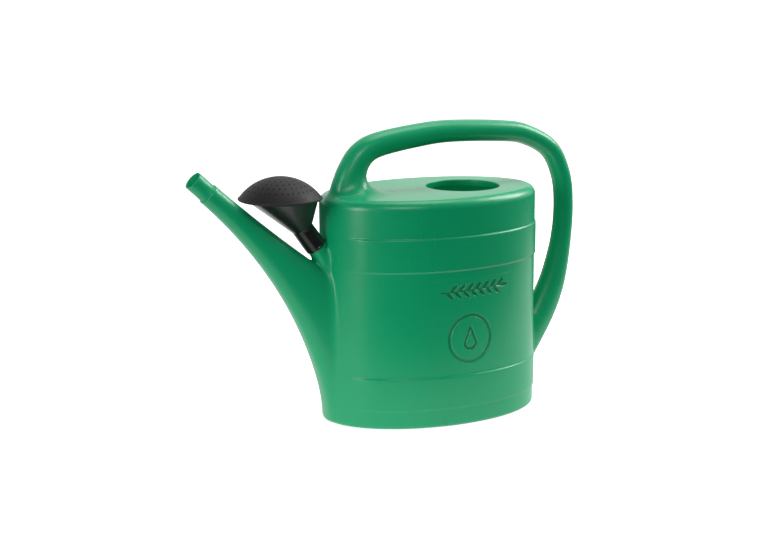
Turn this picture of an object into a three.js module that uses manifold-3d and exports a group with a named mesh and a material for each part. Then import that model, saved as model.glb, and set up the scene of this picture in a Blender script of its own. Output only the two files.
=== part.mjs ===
// A 14 litre garden watering can with its rose parked on the peg.
// Millimetres, +Z up. The origin is the centre of the base, where the can stands.
// The spout points towards -X, and the can is the same on both sides of the plane y = 0.

import * as THREE from 'three';
import { mergeVertices } from 'three/addons/utils/BufferGeometryUtils.js';
import Module from 'manifold-3d';

const wasm = await Module();
wasm.setup();

// The tank: an upright oval drum with a flat deck.
const TANK_HALF_LENGTH = 153.2;
const TANK_HALF_WIDTH = 102;
const TANK_HEIGHT = 301.4;
const TANK_WALL = 2.2;
const TANK_LEAN = 0.5;
const DECK_ROUND = 12;
const FOOT_ROUND = 4;
const BAND_PROUD = 1.6;
const BAND_SLOPE = 2;
const LOWER_BAND_BOTTOM = 23.7;
const LOWER_BAND_HEIGHT = 45;
const UPPER_BAND_BELOW_DECK = 48;
const UPPER_BAND_HEIGHT = 46;

// The fill hole in the deck, behind the grip's middle, with a lip turned down inside it.
const FILL_RADIUS = 49.5;
const FILL_BEHIND_CENTRE = 51.8;
const FILL_LIP_DEPTH = 7;

// The spout: a flat-sided root that narrows to a round tube and a spigot for the rose.
const SPOUT_WALL = 2;
const SPOUT_ANGLE = THREE.MathUtils.degToRad(43);
const MOUTH_PAST_ROSE = 74.2;
const ROSE_TO_SPOUT = 6.5;
const SPIGOT_RADIUS = 12.6;
const SPIGOT_LENGTH = 27;
const SPIGOT_WALL = 1.4;
const SHOULDER_STEP = 1.7;
const SPOUT_FOOT_HEIGHT = 8;
const SPOUT_TOP_BELOW_DECK = 120;
const SPOUT_ROOT_HALF_WIDTH = 25;

// The handle: one hollow arch from the front of the deck to the rear wall.
const HANDLE_WALL = 2.2;
const GRIP_ABOVE_DECK = 74.6;
const GRIP_RADIUS = 15;
const HANDLE_BEHIND_TANK = 58;
const LEG_RADIUS = 13.3;
const REAR_FOOT_HEIGHT = 72;

// The peg on the front wall that holds the rose when it is not in use.
const PEG_ANGLE = THREE.MathUtils.degToRad(54);
const PEG_WALL = 1.8;
const PEG_SEAT_BELOW_DECK = 64.5;
const PEG_OVER_SPIGOT = 0.1;
const PEG_TAPER = 0.02;
const PEG_FOOT_LENGTH = 34;

// The rose: a collar, an oblique funnel and a domed, perforated face.
const SOCKET_CLEARANCE = 0.35;
const COLLAR_WALL = 1.15;
const COLLAR_LENGTH = 35;
const COLLAR_TO_TANK = 1.1;
const SOCKET_DEPTH = 31;
const SOCKET_STOP = 2;
const FUNNEL_WALL = 1.6;
const FACE_RADIUS = 54.5;
const FACE_DOME = 28;
const FACE_WALL = 1.8;
const FACE_BEAD = 2;
const FACE_TO_TANK = 7.3;
const FLANGE_WIDTH = 6.2;
const FUNNEL_TOP_SHIFT = 3.5;
const FACE_SNAP_DEPTH = 1.8;
const HOLE_RADIUS = 0.8;
const HOLE_MARGIN = 8.8;
const HOLE_RINGS = 6;

// Clear space that is kept between two pieces that touch.
const GAP = 0.3;

const OVAL_SIDES = 48;
const TUBE_SIDES = 20;
const ROSE_SIDES = 32;

// ---------------------------------------------------------------- solids

function solid(geometry) {
  const bare = geometry.index ? geometry.toNonIndexed() : geometry.clone();
  for (const name of Object.keys(bare.attributes)) {
    if (name !== 'position') {
      bare.deleteAttribute(name);
    }
  }
  const joined = mergeVertices(bare, 1e-4);
  const corners = joined.index.array;
  const kept = [];
  for (let i = 0; i < corners.length; i += 3) {
    const [a, b, c] = [corners[i], corners[i + 1], corners[i + 2]];
    if (a !== b && b !== c && c !== a) {
      kept.push(a, b, c);
    }
  }
  const body = new wasm.Manifold(new wasm.Mesh({
    numProp: 3,
    vertProperties: new Float32Array(joined.attributes.position.array),
    triVerts: new Uint32Array(kept),
  }));
  return body;
}

function geometryOf(body) {
  const mesh = body.getMesh();
  const geometry = new THREE.BufferGeometry();
  geometry.setAttribute('position', new THREE.BufferAttribute(mesh.vertProperties, 3));
  geometry.setIndex(new THREE.BufferAttribute(mesh.triVerts, 1));
  geometry.computeVertexNormals();
  return geometry;
}

// A closed skin over a row of rings, which all have the same number of points.
function skin(rings) {
  const sides = rings[0].length;
  const points = rings.flat();
  const corners = [];
  for (let i = 0; i + 1 < rings.length; i += 1) {
    for (let j = 0; j < sides; j += 1) {
      const next = (j + 1) % sides;
      const a = i * sides + j;
      const b = i * sides + next;
      corners.push(a, b, b + sides, a, b + sides, a + sides);
    }
  }
  for (const last of [false, true]) {
    const start = last ? (rings.length - 1) * sides : 0;
    const middle = points.length;
    const ring = points.slice(start, start + sides);
    const centre = ring.reduce((sum, p) => sum.add(p), new THREE.Vector3()).divideScalar(sides);
    points.push(centre);
    for (let j = 0; j < sides; j += 1) {
      const a = start + j;
      const b = start + ((j + 1) % sides);
      corners.push(...(last ? [a, b, middle] : [b, a, middle]));
    }
  }
  const geometry = new THREE.BufferGeometry();
  const numbers = points.flatMap((p) => p.toArray());
  geometry.setAttribute('position', new THREE.Float32BufferAttribute(numbers, 3));
  geometry.setIndex(corners);
  const body = solid(geometry);
  return body;
}

// A ring across the plane y = 0. It reaches from low to high in that plane and halfWidth to
// each side of it. A squareness of 2 is an ellipse, and more is squarer.
function crossRing(low, high, halfWidth, squareness, sides) {
  const centre = low.clone().add(high).multiplyScalar(0.5);
  const half = high.clone().sub(low).multiplyScalar(0.5);
  const ring = [];
  for (let j = 0; j < sides; j += 1) {
    const angle = (2 * Math.PI * j) / sides;
    const along = Math.sign(Math.cos(angle)) * Math.abs(Math.cos(angle)) ** (2 / squareness);
    const across = Math.sign(Math.sin(angle)) * Math.abs(Math.sin(angle)) ** (2 / squareness);
    const point = centre.clone().addScaledVector(half, along);
    point.y += halfWidth * across;
    ring.push(point);
  }
  return ring;
}

function roundRing(centre, upward, radius, sides) {
  const low = centre.clone().addScaledVector(upward, -radius);
  const high = centre.clone().addScaledVector(upward, radius);
  return crossRing(low, high, radius, 2, sides);
}

// ---------------------------------------------------------------- tank

function wallRadius(height) {
  return TANK_HALF_WIDTH + TANK_LEAN * ((2 * height) / TANK_HEIGHT - 1);
}

// A lathe is turned to the tank's half width, then stretched to its length. The outer part keeps
// its distance from the wall, and only the flat middle is stretched in proportion. What stands
// proud of the wall fades away towards the front, where the spout and the rose are.
function oval(profile, extra) {
  const lathe = new THREE.LatheGeometry(profile, OVAL_SIDES).rotateX(Math.PI / 2);
  const stretch = TANK_HALF_LENGTH - TANK_HALF_WIDTH;
  const flat = TANK_HALF_WIDTH * 0.6;
  const position = lathe.attributes.position;
  for (let i = 0; i < position.count; i += 1) {
    const radius = Math.hypot(position.getX(i), position.getY(i));
    if (radius > 0) {
      const alongX = position.getX(i) / radius;
      const alongY = position.getY(i) / radius;
      const proud = Math.max(0, radius - wallRadius(position.getZ(i)) - extra);
      const wide = radius - proud * THREE.MathUtils.smoothstep(-alongX, 0.8, 0.95);
      const long = wide > flat ? wide + stretch : (wide * (flat + stretch)) / flat;
      position.setX(i, alongX * long);
      position.setY(i, alongY * wide);
    }
  }
  return solid(lathe);
}

function corner(centreRadius, centreHeight, radius, from, to, steps) {
  const points = [];
  for (let i = 0; i <= steps; i += 1) {
    const angle = THREE.MathUtils.degToRad(from + ((to - from) * i) / steps);
    points.push(new THREE.Vector2(
      centreRadius + radius * Math.cos(angle),
      centreHeight + radius * Math.sin(angle),
    ));
  }
  return points;
}

function band(bottom, height, extra) {
  const top = bottom + height;
  const proud = extra + BAND_PROUD;
  return [
    new THREE.Vector2(wallRadius(bottom) + extra, bottom),
    new THREE.Vector2(wallRadius(bottom) + proud, bottom + BAND_SLOPE),
    new THREE.Vector2(wallRadius(top) + proud, top - BAND_SLOPE),
    new THREE.Vector2(wallRadius(top) + extra, top),
  ];
}

function tankOuter(extra) {
  const foot = corner(wallRadius(0) - FOOT_ROUND, FOOT_ROUND, FOOT_ROUND + extra, -90, 0, 3);
  const deckEdge = TANK_HEIGHT - DECK_ROUND;
  const deck = corner(wallRadius(TANK_HEIGHT) - DECK_ROUND, deckEdge, DECK_ROUND + extra, 0, 90, 5);
  return oval([
    new THREE.Vector2(0, -extra),
    ...foot,
    ...band(LOWER_BAND_BOTTOM, LOWER_BAND_HEIGHT, extra),
    ...band(TANK_HEIGHT - UPPER_BAND_BELOW_DECK - UPPER_BAND_HEIGHT, UPPER_BAND_HEIGHT, extra),
    ...deck,
    new THREE.Vector2(0, TANK_HEIGHT + extra),
  ], extra);
}

function tankInner() {
  const footRound = Math.max(FOOT_ROUND - TANK_WALL, 1);
  const deckRound = Math.max(DECK_ROUND - TANK_WALL, 1);
  const low = TANK_WALL + footRound;
  const high = TANK_HEIGHT - TANK_WALL - deckRound;
  return oval([
    new THREE.Vector2(0, TANK_WALL),
    ...corner(wallRadius(0) - TANK_WALL - footRound, low, footRound, -90, 0, 2),
    ...corner(wallRadius(TANK_HEIGHT) - TANK_WALL - deckRound, high, deckRound, 0, 90, 3),
    new THREE.Vector2(0, TANK_HEIGHT - TANK_WALL),
  ], -TANK_WALL);
}

function fillCylinder(radius, bottom, top) {
  const cylinder = new THREE.CylinderGeometry(radius, radius, top - bottom, OVAL_SIDES);
  cylinder.rotateX(Math.PI / 2);
  cylinder.translate(FILL_BEHIND_CENTRE, 0, (bottom + top) / 2);
  return solid(cylinder);
}

// ---------------------------------------------------------------- where the rose is parked

const front = -TANK_HALF_LENGTH;
const pegAlong = new THREE.Vector3(-Math.cos(PEG_ANGLE), 0, Math.sin(PEG_ANGLE));
const pegUp = new THREE.Vector3(Math.sin(PEG_ANGLE), 0, Math.cos(PEG_ANGLE));
const pegSeatRadius = SPIGOT_RADIUS + PEG_OVER_SPIGOT;
const pegLength = SOCKET_DEPTH - SOCKET_STOP - GAP;
const socketRadius = pegSeatRadius + SOCKET_CLEARANCE;
const collarRadius = socketRadius + COLLAR_WALL;
const seatReach = collarRadius * pegUp.x + COLLAR_TO_TANK;
const seat = new THREE.Vector3(front - seatReach, 0, TANK_HEIGHT - PEG_SEAT_BELOW_DECK);

function onPeg(distance) {
  return seat.clone().addScaledVector(pegAlong, distance);
}

// The face's centre is on the peg's axis, as far out as keeps its rim off the tank.
const faceCentre = onPeg((FACE_RADIUS + FACE_TO_TANK - seatReach) / Math.cos(PEG_ANGLE));

function onFace(height, shift = 0) {
  return new THREE.Vector3(faceCentre.x + shift, 0, faceCentre.z + height);
}

// ---------------------------------------------------------------- spout

// The spout's ridge passes under the parked rose's rim, and the mouth is past it.
const spoutAlong = new THREE.Vector3(-Math.cos(SPOUT_ANGLE), 0, Math.sin(SPOUT_ANGLE));
const spoutUp = new THREE.Vector3(Math.sin(SPOUT_ANGLE), 0, Math.cos(SPOUT_ANGLE));
const shoulderRadius = SPIGOT_RADIUS + SHOULDER_STEP;
const mouth = onFace(-FACE_BEAD - ROSE_TO_SPOUT, -FACE_RADIUS)
  .addScaledVector(spoutAlong, MOUTH_PAST_ROSE)
  .addScaledVector(spoutUp, -shoulderRadius);
const shoulder = mouth.clone().addScaledVector(spoutAlong, -SPIGOT_LENGTH);
const spoutTop = TANK_HEIGHT - SPOUT_TOP_BELOW_DECK;

const underside = new THREE.CubicBezierCurve3(
  new THREE.Vector3(front + 1.2, 0, SPOUT_FOOT_HEIGHT),
  new THREE.Vector3(front - 25, 0, SPOUT_FOOT_HEIGHT + 141),
  shoulder.clone().addScaledVector(spoutUp, -shoulderRadius).addScaledVector(spoutAlong, -90),
  shoulder.clone().addScaledVector(spoutUp, -shoulderRadius),
);
const ridge = new THREE.CubicBezierCurve3(
  new THREE.Vector3(front + 43, 0, spoutTop - 4),
  new THREE.Vector3(front - 2, 0, spoutTop + 20),
  shoulder.clone().addScaledVector(spoutUp, shoulderRadius).addScaledVector(spoutAlong, -65),
  shoulder.clone().addScaledVector(spoutUp, shoulderRadius),
);

function spoutBody(inset) {
  const rings = [];
  const steps = 12;
  for (let i = 0; i <= steps; i += 1) {
    const t = i / steps;
    const low = underside.getPoint(t);
    const high = ridge.getPoint(t);
    const inward = high.clone().sub(low).normalize().multiplyScalar(inset);
    const halfWidth = THREE.MathUtils.lerp(SPOUT_ROOT_HALF_WIDTH, shoulderRadius, t ** 0.8);
    const squareness = 2 + 1.2 * (1 - t);
    rings.push(crossRing(low.add(inward), high.sub(inward), halfWidth - inset, squareness, TUBE_SIDES));
  }
  return rings;
}

function spoutOuter(extra) {
  const rings = spoutBody(-extra);
  rings.push(roundRing(shoulder, spoutUp, SPIGOT_RADIUS + extra, TUBE_SIDES));
  rings.push(roundRing(mouth, spoutUp, SPIGOT_RADIUS + extra, TUBE_SIDES));
  return skin(rings);
}

function spoutBore() {
  const rings = spoutBody(SPOUT_WALL);
  const past = mouth.clone().addScaledVector(spoutAlong, 5);
  rings.push(roundRing(shoulder, spoutUp, SPIGOT_RADIUS - SPIGOT_WALL, TUBE_SIDES));
  rings.push(roundRing(past, spoutUp, SPIGOT_RADIUS - SPIGOT_WALL, TUBE_SIDES));
  return skin(rings);
}

// ---------------------------------------------------------------- handle

// Each stop on the handle's centre line: x, z, half thickness in the plane, half width across.
const back = TANK_HALF_LENGTH;
const gripHeight = TANK_HEIGHT + GRIP_ABOVE_DECK;
const legX = back + HANDLE_BEHIND_TANK;
const legTop = TANK_HEIGHT - 38;
const flareTop = REAR_FOOT_HEIGHT + 101;
const handleStops = [
  [front + 36, TANK_HEIGHT - 22, 35, 25],
  [front + 36, TANK_HEIGHT, 31, 22],
  [front + 36, TANK_HEIGHT + 15, 24, 18.5],
  [front + 41, TANK_HEIGHT + 32, 19.5, 17.5],
  [front + 53, gripHeight - 24, 17.5, 17],
  [front + 76, gripHeight - 12, 16.4, 16.5],
  [front + 130, gripHeight - 3.5, GRIP_RADIUS + 0.7, 16],
  [30, gripHeight, GRIP_RADIUS, 16],
  [legX - 101, gripHeight - 4.5, 14.4, 15.5],
  [legX - 62, gripHeight - 12, 13.8, 14.8],
  [legX - 24, gripHeight - 34, 13.6, 14],
  [legX - 5, gripHeight - 71, LEG_RADIUS, 13.6],
  [legX, legTop, LEG_RADIUS, 13.6],
  [legX - 3, (legTop + flareTop) / 2, 14.3, 13.8],
  [legX - 12, flareTop, 17.6, 14.5],
  [legX - 23, REAR_FOOT_HEIGHT + 69, 20.5, 15.5],
  [legX - 38.5, REAR_FOOT_HEIGHT + 39, 22, 17],
  [legX - 57, REAR_FOOT_HEIGHT + 12.5, 24, 19],
  [legX - 78, REAR_FOOT_HEIGHT - 14, 28, 21],
];

function handleRings(inset, sides, steps) {
  const centreLine = new THREE.CatmullRomCurve3(handleStops.map((s) => new THREE.Vector3(s[0], 0, s[1])));
  const sizes = new THREE.CatmullRomCurve3(handleStops.map((s) => new THREE.Vector3(s[2], s[3], 0)));
  const rings = [];
  for (let i = 0; i <= steps; i += 1) {
    const t = i / steps;
    const centre = centreLine.getPoint(t);
    const tangent = centreLine.getTangent(t);
    const inward = new THREE.Vector3(tangent.z, 0, -tangent.x).normalize();
    const size = sizes.getPoint(t);
    const outerSide = centre.clone().addScaledVector(inward, inset - size.x);
    const innerSide = centre.clone().addScaledVector(inward, size.x - inset);
    rings.push(crossRing(outerSide, innerSide, size.y - inset, 2.15, sides));
  }
  return rings;
}

// ---------------------------------------------------------------- peg and rose

function pegRadius(distance) {
  return pegSeatRadius - PEG_TAPER * distance;
}

function pegOuter() {
  return skin([
    roundRing(onPeg(-PEG_FOOT_LENGTH), pegUp, pegRadius(-PEG_FOOT_LENGTH) + 2, TUBE_SIDES),
    roundRing(onPeg(-GAP), pegUp, pegRadius(-GAP) + 0.2, TUBE_SIDES),
    roundRing(onPeg(0), pegUp, pegRadius(0), TUBE_SIDES),
    roundRing(onPeg(pegLength - 2), pegUp, pegRadius(pegLength), TUBE_SIDES),
    roundRing(onPeg(pegLength), pegUp, pegRadius(pegLength) - 2, TUBE_SIDES),
  ]);
}

function pegBore() {
  return skin([
    roundRing(onPeg(-PEG_FOOT_LENGTH - 6), pegUp, pegRadius(-PEG_FOOT_LENGTH) - PEG_WALL, TUBE_SIDES),
    roundRing(onPeg(0), pegUp, pegRadius(0) - PEG_WALL, TUBE_SIDES),
    roundRing(onPeg(pegLength - PEG_WALL - 1), pegUp, pegRadius(pegLength) - PEG_WALL, TUBE_SIDES),
    roundRing(onPeg(pegLength - PEG_WALL), pegUp, pegRadius(pegLength) - PEG_WALL - 1, TUBE_SIDES),
  ]);
}

const level = new THREE.Vector3(1, 0, 0);
const beadBottom = -FACE_BEAD;
const faceInner = FACE_RADIUS - FACE_BEAD - 0.5;
const flangeRadius = faceInner - GAP;
const funnelTopRadius = flangeRadius - FLANGE_WIDTH;
const collarEnd = PEG_ANGLE + THREE.MathUtils.degToRad(10);
const collarEndUp = new THREE.Vector3(Math.sin(collarEnd), 0, Math.cos(collarEnd));

// The collar ends on a slant, and from there the funnel's wall runs straight to the level rim,
// where it turns out into a flange that the face snaps over.
function funnelOuter() {
  const top = beadBottom + FACE_SNAP_DEPTH;
  return skin([
    roundRing(onPeg(0), pegUp, collarRadius, ROSE_SIDES),
    roundRing(onPeg(COLLAR_LENGTH - 2.5), collarEndUp, collarRadius, ROSE_SIDES),
    roundRing(onFace(beadBottom - 1, FUNNEL_TOP_SHIFT), level, funnelTopRadius, ROSE_SIDES),
    roundRing(onFace(beadBottom + GAP), level, flangeRadius, ROSE_SIDES),
    roundRing(onFace(top), level, flangeRadius, ROSE_SIDES),
  ]);
}

function funnelInner() {
  const neck = socketRadius - SOCKET_STOP;
  const past = beadBottom + FACE_SNAP_DEPTH + 1;
  const throat = funnelTopRadius - FUNNEL_WALL;
  return skin([
    roundRing(onPeg(-1), pegUp, socketRadius, ROSE_SIDES),
    roundRing(onPeg(SOCKET_DEPTH - 0.5), pegUp, socketRadius, ROSE_SIDES),
    roundRing(onPeg(SOCKET_DEPTH), pegUp, neck, ROSE_SIDES),
    roundRing(onPeg(COLLAR_LENGTH), collarEndUp, neck, ROSE_SIDES),
    roundRing(onFace(beadBottom - 1, FUNNEL_TOP_SHIFT), level, throat, ROSE_SIDES),
    roundRing(onFace(past, FUNNEL_TOP_SHIFT), level, throat + 0.5, ROSE_SIDES),
  ]);
}

// Height of a dome over its rim at one distance from its middle.
function domeHeight(radius, rimRadius, rise) {
  const sphere = (rimRadius * rimRadius + rise * rise) / (2 * rise);
  return Math.sqrt(sphere * sphere - radius * radius) - (sphere - rise);
}

function faceSolid() {
  const steps = 6;
  const rimRadius = FACE_RADIUS - 0.6;
  const profile = [];
  for (let i = 0; i <= steps; i += 1) {
    const radius = (faceInner * i) / steps;
    profile.push(new THREE.Vector2(radius, domeHeight(radius, rimRadius, FACE_DOME) - FACE_WALL));
  }
  profile.push(new THREE.Vector2(faceInner, beadBottom));
  profile.push(...corner(FACE_RADIUS - FACE_BEAD, 0, FACE_BEAD, -90, 20, 4));
  for (let i = steps - 1; i >= 0; i -= 1) {
    const radius = (rimRadius * i) / steps;
    profile.push(new THREE.Vector2(radius, domeHeight(radius, rimRadius, FACE_DOME)));
  }
  const dome = new THREE.LatheGeometry(profile, ROSE_SIDES);
  dome.rotateX(Math.PI / 2);
  const ringStep = (faceInner - HOLE_MARGIN) / HOLE_RINGS;
  let face = solid(dome);
  for (let ring = 0; ring <= HOLE_RINGS; ring += 1) {
    const count = Math.max(1, ring * 6);
    for (let i = 0; i < count; i += 1) {
      const angle = (2 * Math.PI * (i + ring / 2)) / count;
      const hole = new THREE.CylinderGeometry(HOLE_RADIUS, HOLE_RADIUS, FACE_DOME * 2, 6);
      hole.rotateX(Math.PI / 2);
      const reach = ring * ringStep;
      hole.translate(reach * Math.cos(angle), reach * Math.sin(angle), FACE_DOME);
      face = face.subtract(solid(hole));
    }
  }
  return face;
}

// ---------------------------------------------------------------- assembly

const green = { color: 0x14a063, roughness: 0.42, metalness: 0 };
const charcoal = { color: 0x2b2c2e, roughness: 0.5, metalness: 0 };

const group = new THREE.Group();

function place(name, body, look, where = new THREE.Vector3()) {
  const mesh = new THREE.Mesh(geometryOf(body), new THREE.MeshStandardMaterial(look));
  mesh.name = name;
  mesh.position.copy(where);
  group.add(mesh);
}

const deckBottom = TANK_HEIGHT - TANK_WALL;
const lip = fillCylinder(FILL_RADIUS + TANK_WALL, deckBottom - FILL_LIP_DEPTH, deckBottom + 1);
const fillHole = fillCylinder(FILL_RADIUS, deckBottom - FILL_LIP_DEPTH - 1, TANK_HEIGHT + 5);
const handleBore = skin(handleRings(HANDLE_WALL, 12, 26));
const keepOffTank = tankOuter(GAP);

const tank = tankOuter(0)
  .subtract(tankInner())
  .add(lip)
  .subtract(fillHole)
  .subtract(spoutBore())
  .subtract(handleBore)
  .subtract(pegBore());
const spout = spoutOuter(0).subtract(spoutBore()).subtract(keepOffTank);
const handle = skin(handleRings(0, TUBE_SIDES, 36)).subtract(handleBore).subtract(keepOffTank);
const peg = pegOuter().subtract(pegBore()).subtract(keepOffTank).subtract(spoutOuter(GAP));

place('tank', tank, green);
place('spout', spout, green);
place('handle', handle, green);
place('rose_peg', peg, green);
place('rose_funnel', funnelOuter().subtract(funnelInner()), charcoal);
place('rose_face', faceSolid(), charcoal, faceCentre);

export default group;
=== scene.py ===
"""A 14 litre blow-moulded watering can, with its rose parked on the peg.

The can is one seamless hollow skin. It is the zero surface of a distance field that joins the
tank, the spout, the handle and the peg with soft fillets, so every root flows as a moulding does.
Lengths inside the field are millimetres, and objects are metres. -X is the spout's side.
"""

import math

import bmesh
import bpy
import numpy as np
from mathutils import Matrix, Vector, geometry


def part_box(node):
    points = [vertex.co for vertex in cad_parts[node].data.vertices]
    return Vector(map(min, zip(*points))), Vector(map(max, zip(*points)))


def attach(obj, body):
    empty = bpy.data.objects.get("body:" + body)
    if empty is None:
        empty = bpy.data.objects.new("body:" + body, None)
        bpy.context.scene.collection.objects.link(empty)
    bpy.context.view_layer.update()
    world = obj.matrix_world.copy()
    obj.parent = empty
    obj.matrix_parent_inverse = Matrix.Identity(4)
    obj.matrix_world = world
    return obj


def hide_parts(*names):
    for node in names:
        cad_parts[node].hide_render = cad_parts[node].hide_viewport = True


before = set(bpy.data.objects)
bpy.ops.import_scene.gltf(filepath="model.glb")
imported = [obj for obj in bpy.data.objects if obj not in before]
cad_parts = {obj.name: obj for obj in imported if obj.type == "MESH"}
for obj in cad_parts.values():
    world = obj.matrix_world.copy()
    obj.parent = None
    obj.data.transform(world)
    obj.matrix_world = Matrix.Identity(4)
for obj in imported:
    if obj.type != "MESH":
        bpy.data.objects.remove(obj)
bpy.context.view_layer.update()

MM = 0.001


def box_mm(node):
    low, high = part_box(node)
    return np.array(low) / MM, np.array(high) / MM


# ------------------------------------------------------------------ sizes, in millimetres

TANK_LOW, TANK_HIGH = box_mm("tank")
HANDLE_HIGH = box_mm("handle")[1]
SPOUT_LOW, SPOUT_HIGH = box_mm("spout")
FUNNEL_HIGH = box_mm("rose_funnel")[1]
FACE_LOW, FACE_HIGH = box_mm("rose_face")

# The tank: an oval that leans out a little towards its top, with two raised bands.
DECK = TANK_HIGH[2]
FRONT = TANK_LOW[0]
LEAN = 0.5
BAND_PROUD = 1.6
HALF_LENGTH = -FRONT - LEAN
HALF_WIDTH = TANK_HIGH[1] - BAND_PROUD - LEAN
DECK_ROUND = 12
FOOT_ROUND = 5
BANDS = ((23.7, 68.7), (DECK - 94, DECK - 48))
BAND_SLOPE = 2.4
WALL = 2.2
SEAM, SEAM_HALF_WIDTH = 0.22, 0.9
SEAM_RISE = (4, 12)

# The fill hole, whose rim turns down into a lip.
HOLE_X = 51.8
HOLE_RADIUS = 49.5
LIP_ROUND = 1.3
LIP_DEPTH = 9.2

# The spout's axis climbs at this angle, and its mouth is a spigot in front of a shoulder.
SPOUT_ANGLE = math.radians(43)
SPOUT_ALONG = np.array([-math.cos(SPOUT_ANGLE), math.sin(SPOUT_ANGLE)])
SPOUT_UP = np.array([math.sin(SPOUT_ANGLE), math.cos(SPOUT_ANGLE)])
SPIGOT_RADIUS = 12.6
SPIGOT_LENGTH = 27
SHOULDER_RADIUS = 14.3
MOUTH = np.array([
    SPOUT_LOW[0] + SPIGOT_RADIUS * SPOUT_UP[0],
    SPOUT_HIGH[2] - SPIGOT_RADIUS * SPOUT_UP[1],
])
SHOULDER = MOUTH - SPIGOT_LENGTH * SPOUT_ALONG
SPOUT_ROOT_HALF_WIDTH = 25

# The peg that holds the rose, and the foot behind its seat.
PEG_ANGLE = math.radians(54)
PEG_ALONG = np.array([-math.cos(PEG_ANGLE), math.sin(PEG_ANGLE)])
PEG_UP = np.array([math.sin(PEG_ANGLE), math.cos(PEG_ANGLE)])
PEG_SEAT = np.array([-HALF_LENGTH - 12.6, DECK - 64.5])
PEG_RADIUS = 12.7
PEG_LENGTH = 28
PEG_FOOT = 34
PEG_TAPER = 0.02

# ------------------------------------------------------------------ small numeric tools


def smoothstep(value, low, high):
    t = np.clip((value - low) / (high - low), 0, 1)
    return t * t * (3 - 2 * t)


def soft_union(a, b, reach):
    blend = np.clip(1 - np.abs(a - b) / reach, 0, None)
    return np.minimum(a, b) - blend * blend * reach / 4


def rounded_both(a, b, radius):
    """Inside both a and b, with their shared edge rounded."""
    u, v = a + radius, b + radius
    return np.hypot(np.maximum(u, 0), np.maximum(v, 0)) - radius + np.minimum(np.maximum(u, v), 0)


def bezier(points, t):
    p = np.array(points, float)
    t = t[:, None]
    return (
        (1 - t) ** 3 * p[0]
        + 3 * (1 - t) ** 2 * t * p[1]
        + 3 * (1 - t) * t**2 * p[2]
        + t**3 * p[3]
    )


def smooth_through(stops, per_span):
    """A Catmull-Rom curve through rows of numbers."""
    p = np.array(stops, float)
    p = np.vstack([2 * p[0] - p[1], p, 2 * p[-1] - p[-2]])
    rows = []
    for i in range(1, len(p) - 2):
        t = np.linspace(0, 1, per_span, endpoint=False)[:, None]
        a, b, c, d = p[i - 1], p[i], p[i + 1], p[i + 2]
        rows.append(
            0.5 * (2 * b + (c - a) * t + (2 * a - 5 * b + 4 * c - d) * t**2
                   + (3 * b - a - 3 * c + d) * t**3)
        )
    return np.vstack(rows + [p[-2:-1]])


def ray_distance(w, y, p, q, power):
    """Distance to a superellipse with half sizes p and q, along the ray from its centre."""
    reach = np.hypot(w, y) + 1e-6
    norm = (np.abs(w / p) ** power + np.abs(y / q) ** power) ** (1 / power) + 1e-6
    return reach * (1 - 1 / norm)


# ------------------------------------------------------------------ the can's distance field

LEG_X = HANDLE_HIGH[0] - 13.45
GRIP_Z = HANDLE_HIGH[2] - 15.1
WALL_FRONT = -HALF_LENGTH

# Each stop on the handle's centre line: x, z, half thickness in the plane, half width across.
HANDLE_STOPS = [
    (WALL_FRONT + 36, DECK - 22, 33, 24),
    (WALL_FRONT + 36, DECK, 29, 20.5),
    (WALL_FRONT + 36.5, DECK + 15, 23.5, 18.3),
    (WALL_FRONT + 41, DECK + 32, 19.5, 17.3),
    (WALL_FRONT + 53, GRIP_Z - 24, 17.5, 17),
    (WALL_FRONT + 76, GRIP_Z - 12, 16.4, 16.5),
    (WALL_FRONT + 130, GRIP_Z - 3.5, 15.7, 16),
    (30, GRIP_Z, 15, 16),
    (LEG_X - 101, GRIP_Z - 4.5, 14.4, 15.5),
    (LEG_X - 62, GRIP_Z - 12, 13.8, 14.8),
    (LEG_X - 24, GRIP_Z - 34, 13.6, 14),
    (LEG_X - 5, GRIP_Z - 71, 13.3, 13.6),
    (LEG_X, DECK - 38, 13.3, 13.6),
    (LEG_X - 3, 218, 14.3, 13.8),
    (LEG_X - 12, 173, 17.6, 14.5),
    (LEG_X - 23, 141, 20, 15.5),
    (LEG_X - 38.5, 111, 21.5, 17),
    (LEG_X - 57, 84.5, 23.5, 18.5),
    (LEG_X - 78, 58, 27, 20.5),
]
HANDLE_LINE = smooth_through(HANDLE_STOPS, 24)


def nearest_on(line, x, z):
    """The row of a curve that is nearest to each point, blended between samples, and how far."""
    best = np.full(x.shape, 1e18)
    index = np.zeros(x.shape, np.int32)
    for i, (cx, cz) in enumerate(line[:, :2]):
        d = (x - cx) ** 2 + (z - cz) ** 2
        closer = d < best
        best[closer] = d[closer]
        index[closer] = i
    found = None
    for step in (-1, 1):
        other = np.clip(index + step, 0, len(line) - 1)
        a, b = line[index], line[other]
        along = b[..., :2] - a[..., :2]
        length2 = np.maximum((along**2).sum(-1), 1e-9)
        t = ((x - a[..., 0]) * along[..., 0] + (z - a[..., 1]) * along[..., 1]) / length2
        row = a + (b - a) * np.clip(t, 0, 1)[..., None]
        far = np.hypot(x - row[..., 0], z - row[..., 1])
        if found is None:
            found, distance = row, far
        else:
            closer = far < distance
            found = np.where(closer[..., None], row, found)
            distance = np.minimum(far, distance)
    return found, distance


def handle_plan(x, z):
    row, w = nearest_on(HANDLE_LINE, x, z)
    return w, row[..., 2], row[..., 3]


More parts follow.
